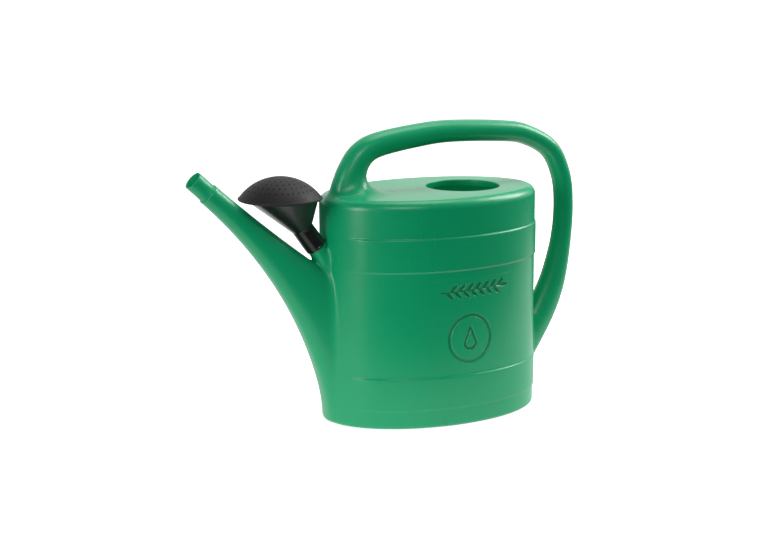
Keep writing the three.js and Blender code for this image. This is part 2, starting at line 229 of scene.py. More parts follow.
# The spout's sections run from its underside to its ridge.
FOOT_Z = 8
SPOUT_TOP = DECK - 120
LOW_END = SHOULDER - SHOULDER_RADIUS * SPOUT_UP
HIGH_END = SHOULDER + SHOULDER_RADIUS * SPOUT_UP
UNDERSIDE = [
    (WALL_FRONT + 1.2, FOOT_Z),
    (WALL_FRONT - 25, FOOT_Z + 141),
    LOW_END - 90 * SPOUT_ALONG,
    LOW_END,
]
RIDGE = [
    (WALL_FRONT + 43, SPOUT_TOP - 4),
    (WALL_FRONT - 2, SPOUT_TOP + 20),
    HIGH_END - 65 * SPOUT_ALONG,
    HIGH_END,
]


def spout_sections():
    t = np.linspace(0, 1, 120)
    low, high = bezier(UNDERSIDE, t), bezier(RIDGE, t)
    half_width = SPOUT_ROOT_HALF_WIDTH + (SHOULDER_RADIUS - SPOUT_ROOT_HALF_WIDTH) * t**0.8
    power = 2 + 1.2 * (1 - t)
    past = SPOUT_ALONG * 18
    low, high = np.vstack([low, low[-1] + past]), np.vstack([high, high[-1] + past])
    half_width, power = np.append(half_width, SHOULDER_RADIUS), np.append(power, 2)
    centre, half = (low + high) / 2, (high - low) / 2
    p = np.hypot(half[:, 0], half[:, 1])
    across = half / p[:, None]
    return np.column_stack([centre, across, p, half_width, power])


SPOUT_ROWS = spout_sections()


def spout_plan(x, z):
    """Offset from the middle line in the plane, how far past an end, and the section's sizes."""
    best = np.full(x.shape, 1e18)
    index = np.zeros(x.shape, np.int32)

    def past(rows):
        return (x - rows[..., 0]) * -rows[..., 3] + (z - rows[..., 1]) * rows[..., 2]

    for i, row in enumerate(SPOUT_ROWS):
        d = np.abs(past(row))
        closer = d < best
        best[closer] = d[closer]
        index[closer] = i
    here = SPOUT_ROWS[index]
    u = past(here)
    other = np.clip(index + np.where(u > 0, 1, -1), 0, len(SPOUT_ROWS) - 1)
    v = past(SPOUT_ROWS[other])
    gap = np.where(np.abs(u - v) < 1e-9, 1, u - v)
    t = np.where(other == index, 0, np.clip(u / gap, 0, 1))
    row = here + (SPOUT_ROWS[other] - here) * t[..., None]
    w = (x - row[..., 0]) * row[..., 2] + (z - row[..., 1]) * row[..., 3]
    beyond = np.where(other == index, np.abs(u), -1e3)
    return w, beyond, row[..., 4], row[..., 5], row[..., 6]


def wall_radius(x, y):
    """The turning radius before the tank was stretched from round to oval."""
    stretch = HALF_LENGTH - HALF_WIDTH
    r = np.full(np.broadcast(x, y).shape, float(HALF_WIDTH))
    for _ in range(3):
        value = (x / (r + stretch)) ** 2 + (y / r) ** 2 - 1
        slope = -2 * x**2 / (r + stretch) ** 3 - 2 * y**2 / r**3 - 1e-9
        r = np.clip(r - value / slope, HALF_WIDTH * 0.5, HALF_WIDTH * 2)
    return r, -x / (r + stretch)


def tank_distance(x, y, z):
    """Distance to the tank. Its bands fade out towards the front, where the spout joins."""
    r, forward = wall_radius(x, y)
    wall = HALF_WIDTH + LEAN * (2 * z / DECK - 1)
    proud = 0
    for low, high in BANDS:
        above_low = smoothstep(z, low, low + BAND_SLOPE)
        proud = proud + above_low * (1 - smoothstep(z, high - BAND_SLOPE, high))
    proud = proud * BAND_PROUD * (1 - smoothstep(forward, 0.8, 0.95))
    side = r - wall - proud
    return np.maximum(rounded_both(side, z - DECK, DECK_ROUND), rounded_both(side, -z, FOOT_ROUND))


def peg_distance(x, y, z):
    """Distance to the peg, and the reach of its fillet, which is nothing where the collar sits."""
    along = (x - PEG_SEAT[0]) * PEG_ALONG[0] + (z - PEG_SEAT[1]) * PEG_ALONG[1]
    w = (x - PEG_SEAT[0]) * PEG_UP[0] + (z - PEG_SEAT[1]) * PEG_UP[1]
    radius = PEG_RADIUS - PEG_TAPER * along + 2.5 * smoothstep(-along, 2, PEG_FOOT)
    peg = np.maximum(rounded_both(np.hypot(w, y) - radius, along - PEG_LENGTH, 2), -PEG_FOOT - along)
    return peg, 0.05 + 5 * (1 - smoothstep(along, -12, -1.5))


SPOUT_FILLET = 11
HANDLE_FILLET, HANDLE_ROOT_FILLET = 8, 24
HANDLE_POWER = 2.15


def can_field(x, y, z, handle, spout):
    """The can's outer surface is where this is 0. handle and spout are the plans at x and z."""
    w, p, q = handle
    grip = ray_distance(w, y, p - SEAM, q, HANDLE_POWER)
    w, beyond, p, q, power = spout
    tube = np.maximum(ray_distance(w, y, p - SEAM, q, power), beyond)
    body = soft_union(tank_distance(x, y, z), tube, SPOUT_FILLET)
    root = smoothstep(x, FRONT + 12, FRONT + 48) * (1 - smoothstep(x, -40, 60))
    body = soft_union(body, grip, HANDLE_FILLET + HANDLE_ROOT_FILLET * root)
    body = soft_union(body, *peg_distance(x, y, z))
    return body - SEAM * np.exp(-((y / SEAM_HALF_WIDTH) ** 2)) * smoothstep(z, *SEAM_RISE)


def field_at(points):
    x, y, z = points.T
    return can_field(x, y, z, handle_plan(x, z), spout_plan(x, z))


# ------------------------------------------------------------------ from field to mesh


def graded(low, high, coarse, fine_spans):
    """Grid lines from low to high, closer inside each span (from, to, step)."""
    lines = [low]
    while lines[-1] < high:
        step = coarse
        for start, end, fine in fine_spans:
            if start <= lines[-1] < end:
                step = min(step, fine)
            elif lines[-1] < start < lines[-1] + step:
                step = start - lines[-1] + 1e-6
        lines.append(lines[-1] + step)
    return np.array(lines)


def surface_nets(values, axes):
    """One point in each cell that the surface crosses, and a quad across each crossed edge."""
    inside = values < 0
    nx, ny, nz = (n - 1 for n in values.shape)
    count = np.zeros((nx, ny, nz), np.uint8)
    for a in (0, 1):
        for b in (0, 1):
            for c in (0, 1):
                count += inside[a : a + nx, b : b + ny, c : c + nz]
    active = (count > 0) & (count < 8)
    number = np.full(active.shape, -1, np.int64)
    cells = np.argwhere(active)
    number[active] = np.arange(len(cells))
    total, hits = np.zeros((len(cells), 3)), np.zeros(len(cells))
    for axis in range(3):
        one, two = [a for a in range(3) if a != axis]
        for s in (0, 1):
            for t in (0, 1):
                start = cells.copy()
                start[:, one] += s
                start[:, two] += t
                end = start.copy()
                end[:, axis] += 1
                f0, f1 = values[tuple(start.T)], values[tuple(end.T)]
                cross = (f0 < 0) != (f1 < 0)
                share = np.where(cross, f0 / np.where(cross, f0 - f1, 1), 0)
                place = np.column_stack([axes[k][start[:, k]] for k in range(3)])
                place[:, axis] += share * (axes[axis][end[:, axis]] - axes[axis][start[:, axis]])
                total += place * cross[:, None]
                hits += cross
    points = total / hits[:, None]
    quads = []
    for axis in range(3):
        one, two = [(axis + 1) % 3, (axis + 2) % 3]
        low = [slice(None)] * 3
        high = [slice(None)] * 3
        low[axis], high[axis] = slice(0, -1), slice(1, None)
        low[one] = high[one] = slice(1, -1)
        low[two] = high[two] = slice(1, -1)
        a, b = inside[tuple(low)], inside[tuple(high)]
        where = np.argwhere(a != b)
        where[:, one] += 1
        where[:, two] += 1
        corners = []
        for s, t in ((1, 1), (0, 1), (0, 0), (1, 0)):
            cell = where.copy()
            cell[:, one] -= s
            cell[:, two] -= t
            corners.append(number[tuple(cell.T)])
        quad = np.column_stack(corners)
        outward = a[a != b]
        quads.append(np.where(outward[:, None], quad, quad[:, ::-1]))
    return points, np.vstack(quads)


def settle(points, level, rounds=2):
    """Moves points onto the field's surface at one level, along its slope."""
    h = 0.2
    corners = np.array([(1, -1, -1), (-1, -1, 1), (-1, 1, -1), (1, 1, 1)])
    for _ in range(rounds):
        samples = [field_at(points + h * c) for c in corners]
        slope = sum(s[:, None] * c for s, c in zip(samples, corners)) / (4 * h)
        value = sum(samples) / 4 - level
        size = np.maximum((slope**2).sum(1), 0.05)
        step = slope * (value / size)[:, None]
        far = np.linalg.norm(step, axis=1, keepdims=True)
        points = points - step * np.minimum(1, 2 / np.maximum(far, 1e-9))
    return points


def can_surface(axes, level):
    x, y, z = axes
    gx, gz = np.meshgrid(x, z, indexing="ij")
    handle = [a[:, None, :] for a in handle_plan(gx, gz)]
    spout = [a[:, None, :] for a in spout_plan(gx, gz)]
    half = y[y <= 0]
    values = np.empty((len(x), len(y), len(z)), np.float32)
    for start in range(0, len(x), 40):
        part = slice(start, start + 40)
        values[part, : len(half)] = can_field(
            x[part, None, None], half[None, :, None], z[None, None, :],
            [a[part] for a in handle], [a[part] for a in spout],
        )
    values[:, -len(half) :] = values[:, : len(half)][:, ::-1]
    points, quads = surface_nets(values - level, axes)
    return settle(points, level), quads


def symmetric(half_lines):
    """Lines on both sides of 0, from positive ones."""
    return np.concatenate([-half_lines[::-1], half_lines])


# ------------------------------------------------------------------ marks in the wall

# The marks are on the wall that faces -Y, inside these limits round RING_X and in height.
MARKED_WALL_Y = -60
MARKS_HALF_LENGTH = 76
MARKS_LOW, MARKS_HIGH = 80, 201
RING_X, RING_Z = 8.8, 116.5
RING_RADIUS, RING_GROOVE = 31, 2.1
PANEL_X, PANEL_Z, PANEL_HALF_LENGTH, PANEL_HALF_HEIGHT = 12, 181, 64, 15.5
MARK_DEPTH, SPRIG_DEPTH, PLATE_DEPTH = 1.5, 1.2, 0.16

# A water drop in outline stands in the ring: its round end's height and radius, and its tip's.
DROP_ROUND_Z, DROP_RADIUS = -5.5, 8.5
DROP_TIP_Z, DROP_TIP_RADIUS = 14.5, 0.4
DROP_LINE_HALF = 1.4

# The sprig in the panel: a stem with pairs of leaves and one more leaf at its tip.
STEM_LEFT, STEM_RIGHT, STEM_HALF = (-46, -1), (44, 1), 0.8
LEAF_PAIRS, LEAF_FIRST, LEAF_STEP = 7, -36, 12
LEAF_ANGLE, LEAF_LENGTH, LEAF_WIDTH = 42, 14, 5.6
TIP_LEAF_ROOT, TIP_LEAF_ANGLE, TIP_LEAF_LENGTH = (43, 1), 2, 15


def to_segment(u, v, start, end):
    (ax, az), (bx, bz) = start, end
    dx, dz = bx - ax, bz - az
    t = np.clip(((u - ax) * dx + (v - az) * dz) / (dx * dx + dz * dz), 0, 1)
    return np.hypot(u - ax - t * dx, v - az - t * dz)


def to_drop(u, v):
    """Distance to a drop's outline, a circle that narrows to a tip above it."""
    rise = np.clip((v - DROP_ROUND_Z) / (DROP_TIP_Z - DROP_ROUND_Z), 0, 1)
    radius = DROP_RADIUS + (DROP_TIP_RADIUS - DROP_RADIUS) * rise
    return np.abs(to_segment(u, v, (0, DROP_ROUND_Z), (0, DROP_TIP_Z)) - radius)


def to_leaf(u, v, root, angle, length, width):
    """Distance to a pointed leaf, the overlap of two circles."""
    a = math.radians(angle)
    s = (u - root[0]) * math.cos(a) + (v - root[1]) * math.sin(a) - length / 2
    t = np.abs(-(u - root[0]) * math.sin(a) + (v - root[1]) * math.cos(a))
    radius = (length**2 / 4 + width**2 / 4) / width
    return np.hypot(s, t + radius - width / 2) - radius


def mark_depth(u, z):
    """How deep the wall is pushed in at arc length u and height z, and how much painted shade darkens the
    mark.
    """
    du, dz = u - RING_X, z - RING_Z
    ring = np.abs(np.hypot(du, dz) - RING_RADIUS) - RING_GROOVE
    drop = to_drop(du, dz) - DROP_LINE_HALF
    du, dz = u - PANEL_X, z - PANEL_Z
    sprig = to_segment(du, dz, STEM_LEFT, STEM_RIGHT) - STEM_HALF
    for i in range(LEAF_PAIRS):
        stem = LEAF_FIRST + LEAF_STEP * i
        for side in (1, -1):
            root = (stem + 3 * side, 0.02 * stem)
            leaf = to_leaf(du, dz, root, side * LEAF_ANGLE, LEAF_LENGTH, LEAF_WIDTH)
            sprig = np.minimum(sprig, leaf)
    tip = to_leaf(du, dz, TIP_LEAF_ROOT, TIP_LEAF_ANGLE, TIP_LEAF_LENGTH, LEAF_WIDTH)
    sprig = np.minimum(sprig, tip)
    edge = 0.4
    ring, drop, sprig = (1 - smoothstep(far, -edge, edge) for far in (ring, drop, sprig))
    plate = np.maximum(np.abs(du) - PANEL_HALF_LENGTH, np.abs(dz) - PANEL_HALF_HEIGHT)
    deep = MARK_DEPTH * (ring + drop) + SPRIG_DEPTH * sprig
    deep = deep + PLATE_DEPTH * (1 - smoothstep(plate, -edge, edge))
    # Painted shade: these weights darken the grooves of the ring, the drop and the sprig.
    return deep, 0.4 * ring + 0.7 * drop + 0.6 * sprig


def arc_length_table():
    """The arc length round the oval at each x, from its middle."""
    a = np.linspace(-math.pi / 2, math.pi / 2, 721)
    x, y = HALF_LENGTH * np.sin(a), HALF_WIDTH * np.cos(a)
    s = np.concatenate([[0], np.cumsum(np.hypot(np.diff(x), np.diff(y)))])
    return x, s - np.interp(0, x, s)


def press_marks(points):
    """Presses the marks into the outer skin, and says how much painted shade darkens each point's mark."""
    table_x, table_s = arc_length_table()
    x, y, z = points.T
    near = (y < MARKED_WALL_Y) & (np.abs(x - RING_X) < MARKS_HALF_LENGTH)
    near = near & (z > MARKS_LOW) & (z < MARKS_HIGH)
    u = np.interp(x[near], table_x, table_s)
    depth, shade = mark_depth(u, z[near])
    normal = np.column_stack([x[near] / HALF_LENGTH**2, y[near] / HALF_WIDTH**2])
    normal /= np.linalg.norm(normal, axis=1, keepdims=True)
    points[near, 0] -= depth * normal[:, 0]
    points[near, 1] -= depth * normal[:, 1]
    painted_groove_shade = np.zeros(len(points))
    painted_groove_shade[near] = shade
    return points, painted_groove_shade


# ------------------------------------------------------------------ stitching rims to the skin


class Skin:
    """Points and faces that grow as pieces of surface are added and joined."""

    def __init__(self):
        self.points = np.zeros((0, 3))
        self.faces = []

    def add(self, points, faces):
        start = len(self.points)
        self.points = np.vstack([self.points, points])
        self.faces.extend([tuple(int(i) + start for i in face) for face in faces])
        return start

    def add_rings(self, rings):
        """Rings of equal length, joined in order. Returns the first and last ring's indices."""
        sides = len(rings[0])
        faces = []
        for i in range(len(rings) - 1):
            for j in range(sides):
                k = (j + 1) % sides
                faces.append((i * sides + j, i * sides + k, (i + 1) * sides + k, (i + 1) * sides + j))
        start = self.add(np.vstack(rings), faces)
        last = start + (len(rings) - 1) * sides
        return list(range(start, start + sides)), list(range(last, last + sides))

    def zip(self, loop, ring, centre, along, flip):
        """Triangles between an uneven loop and a ring round the same axis."""
        along = np.array(along, float) / np.linalg.norm(along)
        side = np.cross(along, (0, 1, 0))
        side /= np.linalg.norm(side)
        up = np.cross(along, side)

        def turned(indices):
            d = self.points[indices] - centre
            angle = np.unwrap(np.arctan2(d @ up, d @ side))
            if angle[-1] < angle[0]:
                indices, angle = indices[::-1], angle[::-1]
            first = int(np.argmin(np.mod(angle, 2 * math.pi)))
            indices = np.roll(indices, -first)
            d = self.points[indices] - centre
            return list(indices), list(np.unwrap(np.arctan2(d @ up, d @ side)))

        a, angle_a = turned(np.array(loop))
        b, angle_b = turned(np.array(ring))
        base = min(angle_a[0], angle_b[0])
        angle_a = [x - 2 * math.pi * math.floor((angle_a[0] - base) / (2 * math.pi)) for x in angle_a]
        angle_a.append(angle_a[0] + 2 * math.pi)
        angle_b.append(angle_b[0] + 2 * math.pi)
        i = j = 0
        while i < len(a) or j < len(b):
            step_a = j == len(b) or (i < len(a) and angle_a[i + 1] <= angle_b[j + 1])
            ai, bj = a[i % len(a)], b[j % len(b)]
            if step_a:
                face = (ai, a[(i + 1) % len(a)], bj)
                i += 1
            else:
                face = (ai, b[(j + 1) % len(b)], bj)
                j += 1
            self.faces.append(face[::-1] if flip else face)


def open_up(points, faces, doomed):
    """The points and faces that are left without the doomed faces, numbered afresh."""
    faces = faces[~doomed]
    used = np.zeros(len(points), bool)
    used[faces.ravel()] = True
    renumber = np.cumsum(used) - 1
    return points[used], renumber[faces]


def edge_loops(faces):
    """The closed loops of edges that only one face uses."""
    edges = np.vstack([np.column_stack([faces[:, i], faces[:, (i + 1) % 4]]) for i in range(4)])
    key = np.sort(edges, axis=1)
    _, first, count = np.unique(key, axis=0, return_index=True, return_counts=True)
    following = {int(a): int(b) for a, b in edges[first[count == 1]]}
    loops = []
    while following:
        start, current = following.popitem()
        loop = [start]
        while current != start:
            loop.append(current)
            current = following.pop(current)
        loops.append(loop)
    return loops


def circle(centre, side, up, radius, sides):
    a = np.linspace(0, 2 * math.pi, sides, endpoint=False)[:, None]
    return np.array(centre) + radius * (np.cos(a) * np.array(side) + np.sin(a) * np.array(up))


def in_plane(point, y=0.0):
    return np.array([point[0], y, point[1]])


def along_spout(points):
    d = points - in_plane(MOUTH)
    return d[:, 0] * SPOUT_ALONG[0] + d[:, 2] * SPOUT_ALONG[1]


def rim_faces(points, faces, mouth_cut, hole_cut, height):
    """The faces that close the spout's mouth and the fill hole, which are cut away."""
    centre = points[faces].mean(axis=1)
    off_axis = centre - in_plane(MOUTH)
    across = np.hypot(off_axis[:, 0] * SPOUT_UP[0] + off_axis[:, 2] * SPOUT_UP[1], off_axis[:, 1])
    mouth = (along_spout(centre) > mouth_cut) & (across < 30)
    hole = np.hypot(centre[:, 0] - HOLE_X, centre[:, 1]) < hole_cut
    hole = hole & (np.abs(centre[:, 2] - height) < 3)
    return mouth | hole


GRID_STEP, INNER_GRID_STEP, MARK_GRID_STEP = 2.6, 4.0, 0.65
HOLE_SIDES, MOUTH_SIDES = 128, 72


def build_can():
    """The can's skin, the range of its inside faces, and how much painted shade darkens each outer point's
    mark.
    """
    fine_x = [(-58, 80, MARK_GRID_STEP)]
    fine_z = [(82, 200, MARK_GRID_STEP)]
    for low, high in BANDS:
        fine_z += [(low - 2, low + 4, 0.7), (high - 4, high + 2, 0.7)]
    fine_z += [(DECK - 14, DECK + 1, 1.5), (-1, 7, 1.2)]
    outer_axes = (
        graded(SPOUT_LOW[0] - 8, HANDLE_HIGH[0] + 6, GRID_STEP, fine_x),
        symmetric(graded(0.3, TANK_HIGH[1] + 5, GRID_STEP, [(0.3, 2, 0.6)])),
        graded(-6.3, HANDLE_HIGH[2] + 6, GRID_STEP, fine_z),
    )
    coarse = INNER_GRID_STEP
    inner_axes = (
        graded(SPOUT_LOW[0] - 8, HANDLE_HIGH[0] + 6, coarse, []),
        symmetric(graded(coarse / 2, TANK_HIGH[1] + 6, coarse, [])),
        graded(-6, HANDLE_HIGH[2] + 6, coarse, []),
    )
    outer_points, outer_faces = can_surface(outer_axes, 0)
    inner_points, inner_faces = can_surface(inner_axes, -WALL)
    doomed = rim_faces(outer_points, outer_faces, -SPIGOT_LENGTH - 6, HOLE_RADIUS + 7, DECK)
    outer_points, outer_faces = open_up(outer_points, outer_faces, doomed)
    doomed = rim_faces(inner_points, inner_faces, -SPIGOT_LENGTH - 10, HOLE_RADIUS + 9, DECK - WALL)
    inner_points, inner_faces = open_up(inner_points, inner_faces, doomed)
    outer_points, painted_groove_shade = press_marks(outer_points)
    outer_points[:, 2] = np.maximum(outer_points[:, 2], 0)

    skin = Skin()
    skin.add(outer_points, outer_faces)
    outside = len(skin.faces)
    start = skin.add(inner_points, inner_faces[:, ::-1])
    inside = (outside, len(skin.faces))
    loops = [(loop, False) for loop in edge_loops(outer_faces)]
    loops += [([i + start for i in loop], True) for loop in edge_loops(inner_faces)]

    def loop_near(centre, inner):
        sets = [loop for loop, is_inner in loops if is_inner == inner]
        return min(sets, key=lambda l: np.linalg.norm(skin.points[l].mean(axis=0) - centre))

    # The fill hole's rim turns down into a lip, then back up to the deck's underside.
    hole = np.array([HOLE_X, 0, DECK])
    quarter = np.radians(np.linspace(90, 180, 7))
    profile = [(HOLE_RADIUS + LIP_ROUND + 2, 0)]
    profile += [
        (HOLE_RADIUS + LIP_ROUND + LIP_ROUND * math.cos(a), LIP_ROUND * (math.sin(a) - 1))
        for a in quarter
    ]
    bottom = np.radians(np.linspace(180, 360, 7))
    half_wall = WALL / 2
    profile += [
        (HOLE_RADIUS + half_wall + half_wall * math.cos(a), -LIP_DEPTH + half_wall + half_wall * math.sin(a))
        for a in bottom
    ]
    profile += [(HOLE_RADIUS + WALL, -WALL - 1), (HOLE_RADIUS + WALL + 1, -WALL)]
    rings = [circle(hole + (0, 0, dz), (1, 0, 0), (0, 1, 0), r, HOLE_SIDES) for r, dz in profile]
    first, last = skin.add_rings(rings)
    skin.zip(loop_near(hole, False), first, hole, (0, 0, 1), False)
    skin.zip(loop_near(hole - (0, 0, WALL), True), last, hole, (0, 0, 1), True)

    # The spout's shoulder, its spigot and the bore behind them.
    mouth, along = in_plane(MOUTH), in_plane(SPOUT_ALONG)
    bore = SPIGOT_RADIUS - 1.4
    profile = [
        (SHOULDER_RADIUS, -SPIGOT_LENGTH - 3.2), (SHOULDER_RADIUS, -SPIGOT_LENGTH - 0.7),
        (SHOULDER_RADIUS - 0.2, -SPIGOT_LENGTH - 0.2), (SHOULDER_RADIUS - 0.6, -SPIGOT_LENGTH),
        (SPIGOT_RADIUS + 0.3, -SPIGOT_LENGTH + 0.05), (SPIGOT_RADIUS, -SPIGOT_LENGTH + 0.4),
        (SPIGOT_RADIUS, -12), (SPIGOT_RADIUS, -0.6), (SPIGOT_RADIUS - 0.15, -0.15),
        (SPIGOT_RADIUS - 0.5, 0), (bore + 0.3, 0), (bore, -0.5),
        (bore, -SPIGOT_LENGTH + 1), (SHOULDER_RADIUS - WALL, -SPIGOT_LENGTH - 5),
    ]
    side = in_plane(SPOUT_UP)
    rings = [circle(mouth + along * s, side, (0, 1, 0), r, MOUTH_SIDES) for r, s in profile]
    rings[0] = settle(rings[0], 0)
    first, last = skin.add_rings(rings)
    skin.zip(loop_near(mouth - along * 34, False), first, mouth, along, True)
    skin.zip(loop_near(mouth - along * 38, True), last, mouth, along, False)
    return skin, inside, painted_groove_shade


SHARP_EDGE = math.radians(42)


def mesh_object(name, points, faces):
    mesh = bpy.data.meshes.new(name)
    mesh.from_pydata((np.asarray(points) * MM).tolist(), [], [tuple(f) for f in faces])
    shape = bmesh.new()
    shape.from_mesh(mesh)
    bmesh.ops.recalc_face_normals(shape, faces=shape.faces)
    if shape.calc_volume(signed=True) < 0:
        bmesh.ops.reverse_faces(shape, faces=shape.faces)
    shape.to_mesh(mesh)
    shape.free()
    mesh.shade_smooth()
    mesh.set_sharp_from_angle(angle=SHARP_EDGE)
    piece = bpy.data.objects.new(name, mesh)
    bpy.context.scene.collection.objects.link(piece)
    return piece


# ------------------------------------------------------------------ the rose

FACE_RADIUS = FACE_HIGH[1]
FACE_BEAD = 2
FACE_CENTRE = np.array([(FACE_LOW[0] + FACE_HIGH[0]) / 2, 0, FACE_LOW[2] + FACE_BEAD])
FACE_DOME = FACE_HIGH[2] - FACE_CENTRE[2]
FACE_WALL = 1.8
RIM_RADIUS = FACE_RADIUS - 0.6
DOME_SPHERE = (RIM_RADIUS**2 + FACE_DOME**2) / (2 * FACE_DOME)
FACE_INNER = FACE_RADIUS - FACE_BEAD - 0.5
HOLE_RINGS = 6
HOLE_RING_STEP = (FACE_INNER - 8.8) / HOLE_RINGS
SPRAY_HOLE = 1.0
SPRAY_SIDES = 10
PLATE_RADIUS = 46.8
PLATE_STEP = 2.4

SOCKET_RADIUS = PEG_RADIUS + 0.35
COLLAR_RADIUS = SOCKET_RADIUS + 1.15
COLLAR_LENGTH = 35
COLLAR_END = PEG_ANGLE + math.radians(10)
FLANGE_RADIUS = FUNNEL_HIGH[1]
FUNNEL_TOP = FLANGE_RADIUS - 6.2
FUNNEL_SHIFT = 3.5
ROSE_SIDES, FACE_SIDES = 160, 96
LEVEL = math.pi / 2

# The collar's flats and ribs, by their distance along the peg and across it.
FLAT_DEPTH, FLAT_HALF_WIDTH = 0.75, 5.6
RIB_HEIGHT, RIB_ACROSS, RIB_HALF_WIDTH = 0.45, 7.4, 0.75


def dome_height(radius, drop=0.0):
    return np.sqrt(np.maximum((DOME_SPHERE - drop) ** 2 - radius**2, 0)) - (DOME_SPHERE - FACE_DOME)


def rose_ring(centre, tilt, radius):
    """A ring round an axis that climbs at tilt towards -X. At a quarter turn the ring is level."""
    side = (math.sin(tilt), 0, math.cos(tilt))
    return circle(centre, side, (0, 1, 0), radius, ROSE_SIDES)


def on_peg(distance):
    return in_plane(PEG_SEAT + distance * PEG_ALONG)


def on_face(height, shift=0.0):
    return FACE_CENTRE + np.array([shift, 0, height])


def between(a, b, t):
    return a + (b - a) * t


def grip_details(ring, distance):
    """The collar's two flats, and a rib beside each of them."""
    centre = on_peg(distance)
    radial = ring - centre
    radial -= np.outer(radial @ in_plane(PEG_ALONG), in_plane(PEG_ALONG))
    size = np.linalg.norm(radial, axis=1, keepdims=True)
    across = radial @ in_plane(PEG_UP)
    flat = (smoothstep(distance, 1.6, 2.6) * (1 - smoothstep(distance, 30, 31))) * FLAT_DEPTH
    limit = COLLAR_RADIUS - flat
    reach = np.abs(radial[:, 1])
    inward = np.where(np.abs(across) < FLAT_HALF_WIDTH, np.maximum(reach - limit, 0), 0)
    ring = ring.copy()
    ring[:, 1] -= np.sign(radial[:, 1]) * inward
    rib = np.exp(-(((across - RIB_ACROSS) / RIB_HALF_WIDTH) ** 2))
    rib = rib * smoothstep(distance, 14, 15) * (1 - smoothstep(distance, 31.5, 32.5))
    return ring + radial / size * (RIB_HEIGHT * rib)[:, None]


def build_funnel():
    """One closed loop of rings: up the collar and the funnel, over the flange and down inside."""
    rings = []
    for s, inset in ((0.0, 0.5), (0.12, 0.15), (0.5, 0.0)):
        rings.append(rose_ring(on_peg(s), PEG_ANGLE, COLLAR_RADIUS - inset))
    end = COLLAR_LENGTH - 2.5
    for s in np.concatenate([np.arange(1, 5, 0.5), np.arange(5, 28, 1.5), np.arange(28, 31.6, 0.5)]):
        tilt = PEG_ANGLE + math.radians(10) * s / end
        rings.append(grip_details(rose_ring(on_peg(s), tilt, COLLAR_RADIUS), s))
    low_ring = rose_ring(on_peg(end), COLLAR_END, COLLAR_RADIUS)
    high_ring = rose_ring(on_face(-FACE_BEAD - 1, FUNNEL_SHIFT), LEVEL, FUNNEL_TOP)
    for t in (0.0, 0.012, 0.03, 0.06, 0.12, 0.24, 0.4, 0.56, 0.72, 0.85, 0.93, 0.97, 1.0):
        rings.append(between(low_ring, high_ring, t))
    flange = [
        (-0.72, 48.0), (-0.3, FLANGE_RADIUS - 0.6), (0.0, FLANGE_RADIUS),
        (1.2, FLANGE_RADIUS), (1.5, FLANGE_RADIUS - 0.4),
    ]
    for dz, radius in flange:
        rings.append(rose_ring(on_face(-FACE_BEAD + 0.3 + dz), LEVEL, radius))
    throat = FUNNEL_TOP - 1.6
    rings.append(rose_ring(on_face(-FACE_BEAD + 1.8, FUNNEL_SHIFT), LEVEL, throat + 0.6))
    rings.append(rose_ring(on_face(-FACE_BEAD - 1, FUNNEL_SHIFT), LEVEL, throat))
    neck = SOCKET_RADIUS - 2
    rings.append(between(rings[-1], rose_ring(on_peg(COLLAR_LENGTH), COLLAR_END, neck), 0.5))
    rings.append(rose_ring(on_peg(COLLAR_LENGTH), COLLAR_END, neck))
    socket = [
        (31, neck), (31, SOCKET_RADIUS - 0.3), (30.6, SOCKET_RADIUS),
        (0.8, SOCKET_RADIUS), (0.1, SOCKET_RADIUS + 0.35),
    ]
    for s, radius in socket:
        rings.append(rose_ring(on_peg(s), PEG_ANGLE, radius))
    skin = Skin()
    skin.add_rings(rings + [rings[0]])
    points, faces = skin.points, skin.faces
    last = len(points) - ROSE_SIDES
    faces = [tuple(i - last if i >= last else i for i in face) for face in faces]
    return points[:last], faces


def spray_holes():
    """The middles of the holes, one in the centre and six more in each ring than in the last."""
    holes = []
    for ring in range(HOLE_RINGS + 1):
        count = max(1, ring * 6)
        for i in range(count):
            angle = 2 * math.pi * (i + ring / 2) / count
            holes.append((ring * HOLE_RING_STEP * math.cos(angle), ring * HOLE_RING_STEP * math.sin(angle)))
    return holes


